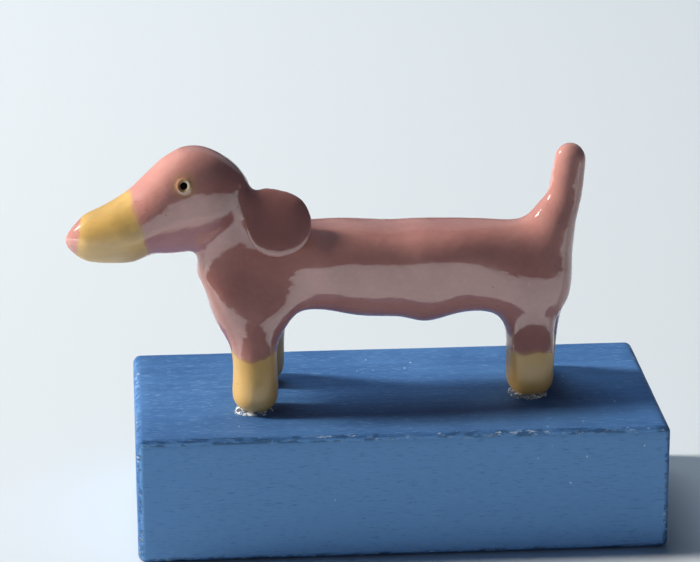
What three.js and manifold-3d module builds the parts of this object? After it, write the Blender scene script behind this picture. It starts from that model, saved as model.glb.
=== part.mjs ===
// Dachshund figurine. A glazed clay dog, luted together from hand-rolled members, stands on a
// painted wooden block and is glued to it by its four feet.
// Millimetres, +Z up. The dog faces -X, and the origin is the middle of the block's underside.
import * as THREE from "three";
import { LoftGeometry } from "three/addons/geometries/LoftGeometry.js";
import { RoundedBoxGeometry } from "three/addons/geometries/RoundedBoxGeometry.js";
import { mergeVertices } from "three/addons/utils/BufferGeometryUtils.js";
import Module from "manifold-3d";

const wasm = await Module();
wasm.setup();

// Block
const BLOCK_LENGTH = 100;
const BLOCK_DEPTH = 50;
const BLOCK_HEIGHT = 24.5;
const BLOCK_EDGE_RADIUS = 1.5;

// Stance on the block: the dog is glued on a little askew
const DOG_TURN_DEGREES = 3;

// Gap that stands for the slip or the glue between one piece and the next
const SLIP_GAP = 0.3;

// Glue under and round each foot
const GLUE_FILM = 0.25;
const GLUE_SPREAD = 0.4;
const GLUE_HEIGHT = 1.3;

// Torso: a level roll, with its axis at this height above the block
const TORSO_AXIS_HEIGHT = 24.7;
const TORSO_LENGTH = 68;
const TORSO_HEIGHT = 18.6;
const TORSO_WIDTH = 19;
const WITHERS_RISE = 1.1;
const WAIST_TUCK = 0.8;
const BELLY_SAG = 0.7;
const RUMP_ROUND = 8;
const RUMP_BLUNTNESS = 2.6;

// Where along the torso its form changes: the withers behind the chest, the rest ahead of the rump
const WITHERS_SETBACK = 19;
const BELLY_AHEAD = 29.2;
const LOIN_AHEAD = 19;
const HIPS_AHEAD = 6.8;

// Neck and chest: one upright roll across the front of the torso
const NECK_DEPTH = 19.2;
const NECK_WIDTH = 18;
const NECK_SETBACK = 8;
const NECK_LEAN = 4.4;
const NAPE_DEPTH = 15;
const NAPE_WIDTH = 13;
const CHEST_DEPTH = 14;
const CHEST_DROP = 13.2;
const CHEST_TUCK = 1.6;
const CHEST_ROUND = 4;

// Head: the skull's middle lies this far ahead of the chest and above the torso's axis
const HEAD_REACH = 3.6;
const HEAD_RISE = 14.9;
const SKULL_HEIGHT = 20;
const SKULL_WIDTH = 16.4;
const SKULL_BACK = 10.4;
const BROW_AHEAD = 5.5;
const BROW_HEIGHT = 18.8;
const BROW_WIDTH = 14.8;
const BROW_DROP = 0.8;
const STOP_AHEAD = 10.8;
const STOP_HEIGHT = 13.8;
const STOP_WIDTH = 12;
const STOP_DROP = 4.1;
const LIP_AHEAD = 17;
const LIP_HEIGHT = 11.2;
const LIP_WIDTH = 10;
const LIP_DROP = 6.1;
const NOSE_AHEAD = 24.6;
const NOSE_HEIGHT = 6.2;
const NOSE_WIDTH = 5.8;
const NOSE_DROP = 7.4;
const NOSE_ROUND = 4.6;

// Eyes: holes poked into the sides of the head
const EYE_DIAMETER = 1.8;
const EYE_DEPTH = 1.6;
const EYE_AHEAD = 2.6;
const EYE_RISE = 4.6;

// Ears: flaps laid over the nape. The far one hangs lower and further forward.
const EAR_LENGTH = 13.4;
const EAR_WIDTH = 12.4;
const EAR_END_WIDTH = 11.4;
const EAR_END_ROUND = 4.2;
const EAR_BLUNTNESS = 2.4;
const EAR_THICKNESS = 4;
const EAR_BEHIND = 14.6;
const EAR_RISE = 1.9;
const EAR_ROOT_SPREAD = 6.6;
const EAR_FLARE = 7.2;
const EAR_SWEEP = 2.6;
const EAR_BULGE = 1.8;
const FAR_EAR_DROP = 2;
const FAR_EAR_FORWARD = 1.6;

// Legs
const FOOT_ROUND = 3.6;
const FOOT_BLUNTNESS = 2.5;
const FOOT_TAPER = 0.5;
const HIP_DROP = 4;
const SHANK_LENGTH = 8;
const THIGH_LENGTH = 5;

// Front and rear legs
const FRONT_LEG_DIAMETER = 8.6;
const FRONT_LEG_SETBACK = 7.4;
const FRONT_LEG_GAP = 8.2;
const FRONT_FEET_STAGGER = 2.8;
const SHOULDER_WIDTH = 10.4;
const SHOULDER_DEPTH = 11;
const SHOULDER_BACK = 1;
const SHOULDER_GAP = 0.6;
const REAR_LEG_DIAMETER = 9.4;
const REAR_LEG_SETBACK = 7.9;
const REAR_LEG_GAP = 1.6;
const REAR_FEET_STAGGER = 1.6;
const HAUNCH_WIDTH = 10.6;
const HAUNCH_DEPTH = 12;
const HAUNCH_BACK = 0.6;
const HAUNCH_GAP = 0.6;

// Tail: a short upright roll on the end of the rump
const TAIL_LENGTH = 13.9;
const TAIL_DIAMETER = 6;
const TAIL_TIP_DIAMETER = 5.4;
const TAIL_TIP_ROUND = 2.8;
const TAIL_ROOT_DIAMETER = 9;
const TAIL_ROOT_SETBACK = 5;
const TAIL_LEAN = 5;

// Facets
const STEPS_AROUND = 22;
const STEPS_ROUNDING = 4;
const STEP_LENGTH = 3.4;
const BLOCK_EDGE_STEPS = 3;
const EYE_STEPS = 10;
const GLUE_STEPS = 5;

// Corners closer than this are one corner
const WELD = 1e-4;

// Share of a rounding that is left flat at its tip
const TIP_FLAT = 0.03;

const X_AXIS = new THREE.Vector3(1, 0, 0);
const Y_AXIS = new THREE.Vector3(0, 1, 0);

// A closed geometry with its shared corners welded, and nothing but positions
function welded(geometry) {
  const bare = new THREE.BufferGeometry();
  bare.setAttribute("position", geometry.getAttribute("position"));
  bare.setIndex(geometry.index);
  return mergeVertices(bare, WELD);
}

function toSolid(geometry) {
  const body = welded(geometry);
  const vertProperties = new Float32Array(body.attributes.position.array);
  const triVerts = new Uint32Array(body.index.array);
  return new wasm.Manifold(new wasm.Mesh({ numProp: 3, vertProperties, triVerts }));
}

function toGeometry(solid) {
  const { vertProperties, triVerts } = solid.getMesh();
  const geometry = new THREE.BufferGeometry();
  geometry.setAttribute("position", new THREE.BufferAttribute(vertProperties, 3));
  geometry.setIndex(new THREE.BufferAttribute(triVerts, 1));
  geometry.computeVertexNormals();
  return geometry;
}

// The same form, larger by the slip gap all round: what a neighbour is cut with
function grown(geometry) {
  const body = welded(geometry);
  body.computeVertexNormals();
  const { position, normal } = body.attributes;
  for (let i = 0; i < position.count; i += 1) {
    const point = new THREE.Vector3().fromBufferAttribute(position, i);
    const outward = new THREE.Vector3().fromBufferAttribute(normal, i);
    point.addScaledVector(outward, SLIP_GAP);
    position.setXYZ(i, point.x, point.y, point.z);
  }
  return toSolid(body);
}

// What is left of a form outside its neighbours: the largest piece of it
function cutBy(geometry, neighbours) {
  let solid = toSolid(geometry);
  for (const neighbour of neighbours) {
    solid = solid.subtract(grown(neighbour));
  }
  const pieces = solid.decompose().sort((a, b) => b.volume() - a.volume());
  return toGeometry(pieces[0]);
}

// How far a rounded end has opened, from 0 at its tip to 1 where the rounding stops
function opening(distance, rounding, bluntness) {
  const left = Math.max(0, 1 - distance / rounding);
  return (1 - left ** bluntness) ** (1 / bluntness);
}

// Distances along a roll at which its sections stand: close together at the rounded ends
function sectionDistances(length, startRound, endRound) {
  const turn = (i) => 1 - Math.cos((Math.PI / 2) * (i / STEPS_ROUNDING));
  const distances = [0];
  for (let i = 1; i <= STEPS_ROUNDING; i += 1) distances.push(startRound * turn(i));
  const middle = length - startRound - endRound;
  const steps = Math.max(1, Math.round(middle / STEP_LENGTH));
  for (let i = 1; i < steps; i += 1) distances.push(startRound + (middle * i) / steps);
  for (let i = STEPS_ROUNDING; i >= 1; i -= 1) distances.push(length - endRound * turn(i));
  distances.push(length);
  return distances;
}

// A hand-rolled clay member: oval sections on a smooth spine, with both ends rounded off.
// Each station holds a point of the spine and the section's size there: wide along side, tall across.
// Sections stand square to the spine, or to facing where that is given.
function clayRoll(stations, { side, facing, startRound, endRound, bluntness = 2 }) {
  const smooth = (points) => new THREE.CatmullRomCurve3(points, false, "catmullrom", 0.5);
  const spine = smooth(stations.map(({ at }) => at));
  const sizes = smooth(stations.map(({ wide, tall }) => new THREE.Vector3(wide, tall, 0)));
  const length = spine.getLength();
  const sections = sectionDistances(length, startRound, endRound).map((distance) => {
    const t = spine.getUtoTmapping(distance / length);
    const ahead = facing ?? spine.getTangent(t);
    const across = side.clone().addScaledVector(ahead, -side.dot(ahead)).normalize();
    const up = ahead.clone().cross(across);
    const fromStart = Math.max(distance, TIP_FLAT * startRound);
    const fromEnd = Math.max(length - distance, TIP_FLAT * endRound);
    const open = opening(fromStart, startRound, bluntness) * opening(fromEnd, endRound, bluntness);
    const size = sizes.getPoint(t).multiplyScalar(open / 2);
    const centre = spine.getPoint(t);
    return Array.from({ length: STEPS_AROUND }, (_, i) => {
      const angle = (2 * Math.PI * i) / STEPS_AROUND;
      const point = centre.clone().addScaledVector(across, size.x * Math.cos(angle));
      return point.addScaledVector(up, size.y * Math.sin(angle));
    });
  });
  return new LoftGeometry(sections, { capStart: true, capEnd: true });
}

const chestX = -TORSO_LENGTH / 2;
const rumpX = TORSO_LENGTH / 2;
const backHeight = TORSO_AXIS_HEIGHT + TORSO_HEIGHT / 2;
const skull = new THREE.Vector3(chestX - HEAD_REACH, 0, TORSO_AXIS_HEIGHT + HEAD_RISE);

function torsoForm() {
  const station = (x, rise, thicker) => ({
    at: new THREE.Vector3(x, 0, TORSO_AXIS_HEIGHT + rise),
    wide: TORSO_WIDTH + thicker,
    tall: TORSO_HEIGHT + thicker,
  });
  const stations = [
    station(chestX, WITHERS_RISE, 0),
    station(chestX + WITHERS_SETBACK, WITHERS_RISE, -WAIST_TUCK),
    station(rumpX - BELLY_AHEAD, -BELLY_SAG, BELLY_SAG),
    station(rumpX - LOIN_AHEAD, 0, -WAIST_TUCK),
    station(rumpX - HIPS_AHEAD, -BELLY_SAG, 0),
    station(rumpX, -BELLY_SAG, -WAIST_TUCK),
  ];
  return clayRoll(stations, {
    side: Y_AXIS,
    facing: X_AXIS,
    startRound: RUMP_ROUND,
    endRound: RUMP_ROUND,
    bluntness: RUMP_BLUNTNESS,
  });
}

function neckForm() {
  const base = chestX + NECK_SETBACK;
  const station = (ahead, height, wide, tall) => ({
    at: new THREE.Vector3(base - ahead, 0, height),
    wide,
    tall,
  });
  const stations = [
    station(-CHEST_TUCK, TORSO_AXIS_HEIGHT - CHEST_DROP, NECK_WIDTH, CHEST_DEPTH),
    station(0, TORSO_AXIS_HEIGHT - CHEST_DROP / 3, NECK_WIDTH, NECK_DEPTH),
    station(NECK_LEAN / 2, TORSO_AXIS_HEIGHT + HEAD_RISE / 4, NECK_WIDTH, NECK_DEPTH),
    station(NECK_LEAN, skull.z, NAPE_WIDTH, NAPE_DEPTH),
  ];
  return clayRoll(stations, { side: Y_AXIS, startRound: CHEST_ROUND, endRound: NAPE_DEPTH / 2 });
}

// The head's outline, from the back of the skull forward to the tip of the nose
const headStations = [
  { ahead: -SKULL_BACK, drop: 0, wide: SKULL_WIDTH, tall: SKULL_HEIGHT },
  { ahead: 0, drop: 0, wide: SKULL_WIDTH, tall: SKULL_HEIGHT },
  { ahead: BROW_AHEAD, drop: BROW_DROP, wide: BROW_WIDTH, tall: BROW_HEIGHT },
  { ahead: STOP_AHEAD, drop: STOP_DROP, wide: STOP_WIDTH, tall: STOP_HEIGHT },
  { ahead: LIP_AHEAD, drop: LIP_DROP, wide: LIP_WIDTH, tall: LIP_HEIGHT },
  { ahead: NOSE_AHEAD, drop: NOSE_DROP, wide: NOSE_WIDTH, tall: NOSE_HEIGHT },
];

function headForm() {
  const stations = headStations.map(({ ahead, drop, wide, tall }) => ({
    at: new THREE.Vector3(skull.x - ahead, 0, skull.z - drop),
    wide,
    tall,
  }));
  const facing = X_AXIS.clone().negate();
  return clayRoll(stations, { side: Y_AXIS, facing, startRound: SKULL_BACK, endRound: NOSE_ROUND });
}

// A blunt hole square to the side of the skull, on the side that y's sign gives
function eyeHole(sign) {
  const lift = EYE_RISE / (SKULL_HEIGHT / 2);
  const cheek = (SKULL_WIDTH / 2) * Math.sqrt(1 - lift ** 2);
  const mouth = EYE_DEPTH;
  const hole = new THREE.CylinderGeometry(EYE_DIAMETER / 2, EYE_DIAMETER / 3, EYE_DEPTH + mouth, EYE_STEPS);
  hole.translate(0, mouth / 2 - EYE_DEPTH / 2, 0);
  if (sign < 0) hole.rotateZ(Math.PI);
  hole.translate(skull.x - EYE_AHEAD, sign * cheek, skull.z + EYE_RISE);
  return hole;
}

function headWithEyes(form) {
  const solid = [-1, 1].reduce((left, sign) => left.subtract(toSolid(eyeHole(sign))), toSolid(form));
  return toGeometry(solid);
}

function earForm(sign, drop, forward) {
  const root = new THREE.Vector3(skull.x + EAR_BEHIND - forward, 0, skull.z + EAR_RISE - drop);
  const fall = Math.sqrt(EAR_LENGTH ** 2 - EAR_FLARE ** 2);
  const station = (share, bulge, wide) => ({
    at: new THREE.Vector3(
      root.x + (share - 0.5) * EAR_SWEEP,
      sign * (EAR_ROOT_SPREAD / 2 + share * EAR_FLARE + bulge * EAR_BULGE),
      root.z - share * fall,
    ),
    wide,
    tall: EAR_THICKNESS,
  });
  const stations = [
    station(0, 0, EAR_END_WIDTH),
    station(1 / 3, 1, EAR_WIDTH),
    station(2 / 3, 1, EAR_WIDTH),
    station(1, 0, EAR_END_WIDTH),
  ];
  return clayRoll(stations, {
    side: X_AXIS,
    startRound: EAR_END_ROUND,
    endRound: EAR_END_ROUND,
    bluntness: EAR_BLUNTNESS,
  });
}

// A leg from its rounded foot up into the torso
function legForm({ foot, hip, diameter, hipWidth, hipDepth }) {
  const station = (share, inward, wide, tall) => ({
    at: new THREE.Vector3(
      THREE.MathUtils.lerp(foot.x, hip.x, inward),
      THREE.MathUtils.lerp(foot.y, hip.y, inward),
      THREE.MathUtils.lerp(foot.z, hip.z, share),
    ),
    wide,
    tall,
  });
  const height = hip.z - foot.z;
  const shank = SHANK_LENGTH / height;
  const thigh = 1 - THIGH_LENGTH / height;
  const stations = [
    station(0, 0, diameter - FOOT_TAPER, diameter - FOOT_TAPER),
    station(shank, shank ** 3, diameter, diameter),
    station(thigh, thigh, hipWidth, hipDepth),
    station(1, 1, hipWidth, hipDepth),
  ];
  return clayRoll(stations, {
    side: Y_AXIS,
    startRound: FOOT_ROUND,
    endRound: hipWidth / 2,
    bluntness: FOOT_BLUNTNESS,
  });
}

const legPairs = {
  front: {
    x: chestX + FRONT_LEG_SETBACK,
    stagger: FRONT_FEET_STAGGER,
    diameter: FRONT_LEG_DIAMETER,
    gap: FRONT_LEG_GAP,
    hipWidth: SHOULDER_WIDTH,
    hipDepth: SHOULDER_DEPTH,
    hipGap: SHOULDER_GAP,
    hipBack: SHOULDER_BACK,
  },
  rear: {
    x: rumpX - REAR_LEG_SETBACK,
    stagger: REAR_FEET_STAGGER,
    diameter: REAR_LEG_DIAMETER,
    gap: REAR_LEG_GAP,
    hipWidth: HAUNCH_WIDTH,
    hipDepth: HAUNCH_DEPTH,
    hipGap: HAUNCH_GAP,
    hipBack: HAUNCH_BACK,
  },
};

const legs = Object.entries(legPairs).flatMap(([end, pair]) =>
  Object.entries({ left: -1, right: 1 }).map(([hand, sign]) => {
    const x = pair.x + (sign * pair.stagger) / 2;
    const footY = (sign * (pair.diameter + pair.gap)) / 2;
    const hipY = (sign * (pair.hipWidth + pair.hipGap)) / 2;
    return {
      ...pair,
      name: `${end}_${hand}`,
      foot: new THREE.Vector3(x, footY, GLUE_FILM + SLIP_GAP),
      hip: new THREE.Vector3(x + pair.hipBack, hipY, TORSO_AXIS_HEIGHT - HIP_DROP),
    };
  }),
);

// A low round dab of glue, which the foot has sunk into
function glueForm({ foot, diameter }) {
  const dome = new THREE.EllipseCurve(0, 0, diameter / 2 + GLUE_SPREAD, GLUE_HEIGHT, 0, Math.PI / 2);
  const profile = [new THREE.Vector2(0, 0), ...dome.getPoints(GLUE_STEPS)];
  profile[profile.length - 1].x = 0;
  const dab = new THREE.LatheGeometry(profile, STEPS_AROUND);
  dab.rotateX(Math.PI / 2);
  dab.translate(foot.x, foot.y, 0);
  return dab;
}

function tailForm() {
  const root = rumpX - TAIL_ROOT_SETBACK;
  const station = (lean, height, diameter) => ({
    at: new THREE.Vector3(root + lean * TAIL_LEAN, 0, height),
    wide: diameter,
    tall: diameter,
  });
  const stations = [
    station(0, TORSO_AXIS_HEIGHT, TAIL_ROOT_DIAMETER),
    station(0.4, backHeight, TAIL_ROOT_DIAMETER),
    station(0.8, backHeight + TAIL_LENGTH / 3, TAIL_DIAMETER),
    station(1, backHeight + TAIL_LENGTH, TAIL_TIP_DIAMETER),
  ];
  return clayRoll(stations, {
    side: Y_AXIS,
    startRound: TAIL_ROOT_DIAMETER / 2,
    endRound: TAIL_TIP_ROUND,
  });
}

const pinkGlaze = () => new THREE.MeshStandardMaterial({ color: 0xb57a6b, roughness: 0.12, metalness: 0 });
const bluePaint = () => new THREE.MeshStandardMaterial({ color: 0x4a72a8, roughness: 0.5, metalness: 0 });
const clearGlue = () => new THREE.MeshStandardMaterial({ color: 0xd8d8d0, roughness: 0.15, metalness: 0 });

function piece(name, geometry, material) {
  const mesh = new THREE.Mesh(geometry, material);
  mesh.name = name;
  return mesh;
}

function buildBlock() {
  const size = [BLOCK_LENGTH, BLOCK_DEPTH, BLOCK_HEIGHT];
  const block = new RoundedBoxGeometry(...size, BLOCK_EDGE_STEPS, BLOCK_EDGE_RADIUS);
  const mesh = piece("base_block", block, bluePaint());
  mesh.position.z = BLOCK_HEIGHT / 2;
  return mesh;
}

function buildDog() {
  const head = headForm();
  const neck = neckForm();
  const torso = torsoForm();
  const clay = {
    head: headWithEyes(head),
    neck: cutBy(neck, [head]),
    torso: cutBy(torso, [neck, head]),
    left_ear: cutBy(earForm(-1, 0, 0), [head, neck, torso]),
    right_ear: cutBy(earForm(1, FAR_EAR_DROP, FAR_EAR_FORWARD), [head, neck, torso]),
    tail: cutBy(tailForm(), [torso]),
  };
  for (const leg of legs) {
    clay[`${leg.name}_leg`] = cutBy(legForm(leg), [torso, neck, head]);
  }
  const dog = new THREE.Group();
  for (const [name, geometry] of Object.entries(clay)) {
    dog.add(piece(name, geometry, pinkGlaze()));
  }
  for (const leg of legs) {
    dog.add(piece(`glue_${leg.name}`, cutBy(glueForm(leg), [legForm(leg)]), clearGlue()));
  }
  dog.position.z = BLOCK_HEIGHT;
  dog.rotation.z = THREE.MathUtils.degToRad(DOG_TURN_DEGREES);
  return dog;
}

const figurine = new THREE.Group();
figurine.add(buildBlock(), buildDog());

export default figurine;
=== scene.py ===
"""Dachshund figurine: a glazed clay dog on a painted wooden block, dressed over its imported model.

The clay is rolled out, pressed together into one skin and smoothed where the rolls are luted. The skin is
then cut into closed pieces, one for each clay node. They keep the normals of the whole skin, so that no cut
shows in the glaze. Metres, +Z up. The dog is modelled in a frame of its own, nose to -X and feet on z = 0.
"""

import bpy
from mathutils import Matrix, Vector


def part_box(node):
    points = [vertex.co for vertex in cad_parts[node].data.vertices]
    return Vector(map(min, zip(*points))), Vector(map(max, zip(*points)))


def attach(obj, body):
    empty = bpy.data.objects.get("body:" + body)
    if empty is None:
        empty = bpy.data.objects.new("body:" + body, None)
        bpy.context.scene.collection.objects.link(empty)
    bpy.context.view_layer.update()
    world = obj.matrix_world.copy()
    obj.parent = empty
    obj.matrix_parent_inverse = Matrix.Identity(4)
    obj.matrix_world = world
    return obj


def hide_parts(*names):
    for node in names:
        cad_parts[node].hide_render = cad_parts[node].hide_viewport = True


bl_info = {
    "name": "Dachshund Figurine",
    "version": (1, 0, 0),
    "blender": (4, 5, 0),
    "location": "3D View > Sidebar > Figurine",
    "description": "Models a glazed clay dachshund that is glued to a painted wooden block",
    "category": "Add Mesh",
}

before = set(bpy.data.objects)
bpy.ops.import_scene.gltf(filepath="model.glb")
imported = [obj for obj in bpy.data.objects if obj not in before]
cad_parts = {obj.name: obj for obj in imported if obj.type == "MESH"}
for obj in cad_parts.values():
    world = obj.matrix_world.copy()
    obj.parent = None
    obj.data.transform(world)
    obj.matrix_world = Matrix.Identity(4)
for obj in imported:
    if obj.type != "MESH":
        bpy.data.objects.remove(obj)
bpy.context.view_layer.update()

from math import atan2, exp, pi, radians

import bmesh
import bpy
import numpy as np
from bpy.props import FloatProperty, FloatVectorProperty, PointerProperty
from bpy.types import Operator, Panel, PropertyGroup
from mathutils import Matrix, Vector, noise
from mathutils.bvhtree import BVHTree
from mathutils.geometry import interpolate_bezier
from mathutils.interpolate import poly_3d_calc

MM = 0.001
BODY = "root"


def middle(node):
    """Middle of a CAD node's box"""
    low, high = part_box(node)
    return (low + high) / 2


# The dog stands turned on the block: its front and rear pairs of feet give its own X axis
block_low, block_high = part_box("base_block")
FEET = ("front_left", "front_right", "rear_left", "rear_right")
EARS = {"left_ear": -1, "right_ear": 1}
glue_middles = {foot: middle(f"glue_{foot}") for foot in FEET}
front_middle = (glue_middles["front_left"] + glue_middles["front_right"]) / 2
rear_middle = (glue_middles["rear_left"] + glue_middles["rear_right"]) / 2
dog_turn = atan2(rear_middle.y - front_middle.y, rear_middle.x - front_middle.x)
dog_place = Matrix.Translation((0, 0, block_high.z)) @ Matrix.Rotation(dog_turn, 4, "Z")
foot_places = {foot: dog_place.inverted() @ place for foot, place in glue_middles.items()}


# Properties


def size(name, millimetres, description):
    """A length, written in millimetres"""
    return FloatProperty(
        name=name, description=description, default=millimetres * MM, unit="LENGTH", precision=5
    )


def section(name, x, z, wide, deep, y=0.0, lift=0.0):
    """One section of a clay roll, written in millimetres. It is widest at lift above its middle."""
    return FloatVectorProperty(
        name=name,
        description=f"{name}: middle along, across and up, then the section's width, depth and lift",
        size=6,
        default=[value * MM for value in (x, y, z, wide, deep, lift)],
        unit="LENGTH",
        precision=5,
    )


def colour(name, red, green, blue, description):
    """A linear colour"""
    values = {"default": (red, green, blue), "min": 0.0, "max": 1.0}
    return FloatVectorProperty(name=name, description=description, subtype="COLOR", **values)


def angle(name, degrees, description):
    """An angle, written in degrees"""
    return FloatProperty(name=name, description=description, default=radians(degrees), unit="ROTATION")


def share(name, value, description):
    """A plain number"""
    return FloatProperty(name=name, description=description, default=value)


def rounding(name, millimetres, end):
    """The length over which an end of a roll is rounded, written in millimetres"""
    return size(f"{name} rounding", millimetres, f"Length of the rounded {end}")


def square(value):
    """How square the sections of a roll are"""
    return share("Squareness", value, "How square the sections are; 2 is an ellipse")


def blunt(value):
    """How square the ends of a roll are"""
    return share("Bluntness", value, "How square the rounded ends are; 2 is an ellipse")


def pointer(kind, name, description):
    """A group of settings"""
    return PointerProperty(type=kind, name=name, description=description)


class TorsoRoll(PropertyGroup):
    """The level roll of back and belly, from chest to rump"""

    chest: section("Chest", -33.0, 26.3, 6.0, 16.0)
    shoulder: section("Shoulder", -22.5, 26.2, 11.6, 16.8, lift=-2.0)
    withers: section("Withers", -14.5, 25.9, 18.0, 16.8, lift=0.4)
    ribs: section("Ribs", -7.0, 25.0, 19.0, 17.8, lift=1.4)
    waist: section("Waist", 0.3, 24.4, 18.8, 17.6, lift=1.4)
    belly: section("Belly", 5.8, 23.9, 19.2, 18.9, lift=1.4)
    loin: section("Loin", 13.5, 24.6, 18.6, 17.2, lift=0.9)
    hips: section("Hips", 24.0, 24.0, 17.8, 17.6, lift=-3.2)
    rump: section("Rump", 34.4, 24.0, 16.4, 18.0, lift=-5.0)
    start_round: rounding("Chest", 12.0, "front end")
    end_round: rounding("Rump", 7.0, "rear end")
    squareness: square(2.6)
    bluntness: blunt(2.6)


class NeckRoll(PropertyGroup):
    """The upright roll of chest and neck"""

    brisket: section("Brisket", -27.4, 10.0, 14.8, 8.0)
    chest: section("Chest", -27.4, 18.0, 19.0, 16.2)
    throat: section("Throat", -26.5, 25.0, 14.8, 22.8)
    collar: section("Collar", -27.8, 31.0, 10.8, 20.0)
    nape: section("Nape", -30.4, 40.0, 9.0, 14.0)
    start_round: rounding("Brisket", 4.0, "lower end")
    end_round: rounding("Nape", 7.0, "upper end")
    squareness: square(3.6)
    bluntness: blunt(2.0)


class HeadRoll(PropertyGroup):
    """Skull and muzzle in one lump, from the nose to the back of the skull"""

    nose: section("Nose", -62.3, 33.0, 5.4, 5.4, y=-1.9)
    lip: section("Lip", -58.4, 33.5, 9.2, 8.6, y=-1.7, lift=-0.4)
    muzzle: section("Muzzle", -54.5, 34.1, 12.2, 10.9, y=-1.5, lift=-0.8)
    bridge: section("Bridge", -50.0, 35.4, 14.6, 13.4, y=-1.2, lift=-1.4)
    stop: section("Stop", -46.2, 37.7, 15.4, 15.5, y=-1.0, lift=-1.8)
    brow: section("Brow", -42.3, 39.2, 15.8, 18.8, y=-0.7, lift=-1.8)
    crown: section("Crown", -37.6, 40.0, 15.8, 20.2, y=-0.4, lift=-1.6)
    occiput: section("Occiput", -26.8, 39.0, 15.0, 19.2, lift=-0.6)
    start_round: rounding("Nose", 4.4, "nose")
    end_round: rounding("Skull", 11.4, "back of the skull")
    keel: share("Keel", 0.5, "How much narrower the sections get below their widest place")
    squareness: square(2.7)
    bluntness: blunt(2.0)


class EarRoll(PropertyGroup):
    """An ear: a flap laid from the nape down over the neck, written for the dog's left side"""

    root: section("Root", -21.8, 41.6, 13.0, 4.4, y=-2.6)
    fold: section("Fold", -22.8, 38.1, 13.6, 4.2, y=-5.0)
    flap: section("Flap", -22.3, 34.8, 13.4, 3.4, y=-7.0)
    rim: section("Rim", -21.4, 30.0, 10.8, 2.2, y=-9.8)
    start_round: rounding("Root", 4.0, "upper end")
    end_round: rounding("Rim", 5.4, "lower end")
    squareness: square(2.0)
    bluntness: blunt(2.4)
    right_ahead: size("Right ear, ahead", 1.6, "How much further forward the right ear hangs")
    right_drop: size("Right ear, drop", 3.2, "How much lower the right ear hangs")


class FrontLegRoll(PropertyGroup):
    """A front leg, from the middle of its foot; across is towards the dog's middle"""

    sole: section("Sole", 0.3, 0.15, 8.8, 8.2)
    paw: section("Paw", 0.4, 3.6, 9.5, 8.9)
    shank: section("Shank", 0.5, 8.4, 8.7, 9.0, y=0.6)
    elbow: section("Elbow", 0.5, 12.6, 9.0, 9.4, y=2.0)
    shoulder: section("Shoulder", 0.5, 17.0, 9.4, 10.4, y=3.3)
    top: section("Top", 0.5, 27.0, 8.4, 11.0, y=5.4)
    start_round: rounding("Foot", 3.6, "foot")
    end_round: rounding("Shoulder", 7.0, "upper end")
    squareness: square(2.0)
    bluntness: blunt(2.5)


class RearLegRoll(PropertyGroup):
    """A rear leg, from the middle of its foot; across is towards the dog's middle"""

    sole: section("Sole", 0.2, 0.15, 8.8, 8.4)
    paw: section("Paw", 0.2, 4.2, 9.6, 8.9)
    shank: section("Shank", 0.4, 9.0, 9.0, 9.1, y=0.3)
    hock: section("Hock", 0.5, 13.6, 9.6, 9.8, y=2.0)
    haunch: section("Haunch", 0.2, 17.4, 10.4, 13.2, y=2.8)
    top: section("Top", 0.8, 25.5, 10.4, 14.0, y=3.4)
    start_round: rounding("Foot", 3.6, "foot")
    end_round: rounding("Haunch", 7.0, "upper end")
    far_back: size("Right leg, back", 0.8, "How much further back the right rear leg stands")
    squareness: square(2.7)
    bluntness: blunt(2.5)


class TailRoll(PropertyGroup):
    """The short upright tail, from inside the rump to its tip"""

    root: section("Root", 28.4, 25.0, 15.0, 12.4)
    dock: section("Dock", 30.6, 32.6, 12.0, 9.4, y=0.2)
    base: section("Base", 32.2, 35.4, 9.0, 7.6, y=0.4)
    bend: section("Bend", 33.1, 38.2, 7.0, 6.8, y=0.7)
    shaft: section("Shaft", 33.7, 41.4, 6.2, 6.4, y=1.1)
    tip: section("Tip", 34.7, 47.3, 5.6, 5.5, y=2.2)
    start_round: rounding("Root", 5.0, "lower end")
    end_round: rounding("Tip", 2.9, "tip")
    squareness: square(2.0)
    bluntness: blunt(2.0)


class ClaySizes(PropertyGroup):
    """How the clay was worked"""

    grain: size("Skin mesh", 0.42, "Size of the faces of the clay's skin")
    broad_dent: size("Broad dents", 0.22, "Depth of the broad dents that hands left")
    broad_span: size("Broad dent span", 11.0, "Distance from one broad dent to the next")
    small_dent: size("Small dents", 0.05, "Depth of the small dents that fingers left")
    small_span: size("Small dent span", 4.5, "Distance from one small dent to the next")
    eye_ahead: size("Eye, along", -40.3, "Place of the eyes along the dog")
    eye_height: size("Eye, height", 44.6, "Height of the eyes above the block")
    eye_depth: size("Eye depth", 1.4, "How deep the eyes are poked")
    eye_radius: size("Eye radius", 0.68, "Radius of the poked eyes")
    eye_rim: size("Eye rim", 0.16, "How far the clay is raised round the eyes")


class GlazeColours(PropertyGroup):
    """The dog's glazes and the painted light and shade at the eyes and nape, as linear colours"""

    pink: colour("Pink", 0.53, 0.245, 0.207, "Main glaze")
    pink_deep: colour("Deep pink", 0.45, 0.192, 0.163, "Main glaze where it lies thick")
    pink_thin: colour("Thin pink", 0.59, 0.31, 0.27, "Main glaze where it lies thin")
    # Painted shade: a darker pink on the ears and nape, where the head's shadow falls
    pink_painted_shade: colour("Painted shade pink", 0.33, 0.135, 0.115, "Main glaze on the ears and the nape")
    ochre: colour("Ochre", 0.52, 0.325, 0.098, "Glaze of the muzzle")
    ochre_pale: colour("Pale ochre", 0.69, 0.42, 0.125, "Glaze of the feet and of thin streaks")
    # Painted light and shade on the eye rims: pale on the back of each rim, which faces the light, and
    # brown on its front, which is turned from it
    rim: colour("Eye rim", 0.80, 0.66, 0.40, "Thin glaze behind the eyes")
    rim_painted_shade: colour("Eye rim shade", 0.30, 0.15, 0.06, "Thick glaze ahead of the eyes")
    # Painted shade: the inside of each eye is coloured nearly black for the shade in the deep hole
    hole: colour("Eye hole shade", 0.02, 0.008, 0.005, "Bare dark clay in the eyes")
    speck: colour("Speck", 0.17, 0.07, 0.055, "Iron specks in the glaze")


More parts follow.
